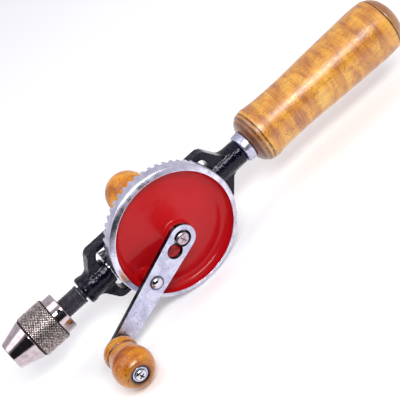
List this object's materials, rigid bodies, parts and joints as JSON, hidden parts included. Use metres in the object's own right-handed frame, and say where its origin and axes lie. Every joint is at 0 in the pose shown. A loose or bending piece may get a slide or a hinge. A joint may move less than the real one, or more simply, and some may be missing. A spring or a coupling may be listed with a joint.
{
  "type": "hand drill",
  "caption": "Hand-cranked drill: loop frame, bevel wheel and pinion, three-jaw chuck, side knob and turned wooden handle.",
  "frame": {"origin": "centre of the bounding box; the spindle axis passes through it along X", "axes": "+X along the spindle from the chuck to the handle, -Y the side of the wheel's face and crank, +Z across the wheel"},
  "size_m": [0.29, 0.113, 0.0788],
  "materials": {
    "black_enamel": "glossy black enamel on a rough casting",
    "red_enamel": "glossy red enamel, rim and teeth bare",
    "zinc": "zinc plated steel, slightly mottled",
    "nickel": "polished nickel plate",
    "knurled_steel": "nickel plated diamond knurl",
    "bright_steel": "bright turned steel",
    "dark_steel": "oiled black steel",
    "grip_wood": "varnished pale hardwood",
    "knob_wood": "varnished orange-brown hardwood",
    "pale_knob_wood": "varnished yellow hardwood"
  },
  "bodies": {
    "frame_and_handle": {"frame": "black_enamel", "handle_grip": "grip_wood", "handle_ferrule": "zinc", "handle_tang": "dark_steel", "wheel_axle": "bright_steel", "axle_washer": "bright_steel", "hub_washer": "bright_steel", "side_knob": "pale_knob_wood", "side_knob_stud": "dark_steel", "nose_washer": "bright_steel", "thrust_washer": "bright_steel"},
    "wheel_and_crank": {"drive_wheel": "red_enamel", "crank_arm": "zinc", "crank_rivet": "bright_steel", "knob_screw": "bright_steel", "knob_washer": "zinc", "knob_nut": "zinc"},
    "crank_knob": {"crank_knob": "knob_wood"},
    "spindle_and_chuck": {"spindle": "dark_steel", "pinion": "dark_steel", "pinion_pin": "bright_steel", "chuck_body": "nickel"},
    "chuck_sleeve": {"chuck_sleeve": "knurled_steel", "chuck_nut_half_1": "dark_steel", "chuck_nut_half_2": "dark_steel"},
    "jaw_1": {"chuck_jaw_1": "bright_steel"},
    "jaw_2": {"chuck_jaw_2": "bright_steel"},
    "jaw_3": {"chuck_jaw_3": "bright_steel"}
  },
  "joints": [
    {"name": "wheel_spin", "type": "hinge", "parent": "frame_and_handle", "child": "wheel_and_crank", "pos_m": [-0.034, 0, 0], "axis": [0, 1, 0], "continuous": true},
    {"name": "spindle_spin", "type": "hinge", "parent": "frame_and_handle", "child": "spindle_and_chuck", "pos_m": [-0.034, 0, 0], "axis": [1, 0, 0], "continuous": true},
    {"name": "knob_spin", "type": "hinge", "parent": "wheel_and_crank", "child": "crank_knob", "pos_m": [-0.09974, 0, -0.02656], "axis": [0, 1, 0], "continuous": true},
    {"name": "chuck_sleeve_turn", "type": "hinge", "parent": "spindle_and_chuck", "child": "chuck_sleeve", "pos_m": [-0.034, 0, 0], "axis": [1, 0, 0], "range_deg": [0, 2880]},
    {"name": "jaw_1_slide", "type": "slide", "parent": "spindle_and_chuck", "child": "jaw_1", "axis": [-0.9613, 0.2756, 0], "range_m": [0, 0.0104]},
    {"name": "jaw_2_slide", "type": "slide", "parent": "spindle_and_chuck", "child": "jaw_2", "axis": [-0.9613, -0.1378, 0.2387], "range_m": [0, 0.0104]},
    {"name": "jaw_3_slide", "type": "slide", "parent": "spindle_and_chuck", "child": "jaw_3", "axis": [-0.9613, -0.1378, -0.2387], "range_m": [0, 0.0104]}
  ],
  "couplings": [
    {"joint": "spindle_spin", "follows": "wheel_spin", "ratio": -4},
    {"joint": "jaw_2_slide", "follows": "jaw_1_slide", "ratio": 1},
    {"joint": "jaw_3_slide", "follows": "jaw_1_slide", "ratio": 1},
    {"joint": "chuck_sleeve_turn", "follows": "jaw_1_slide", "rad_per_m": 4833.2}
  ]
}
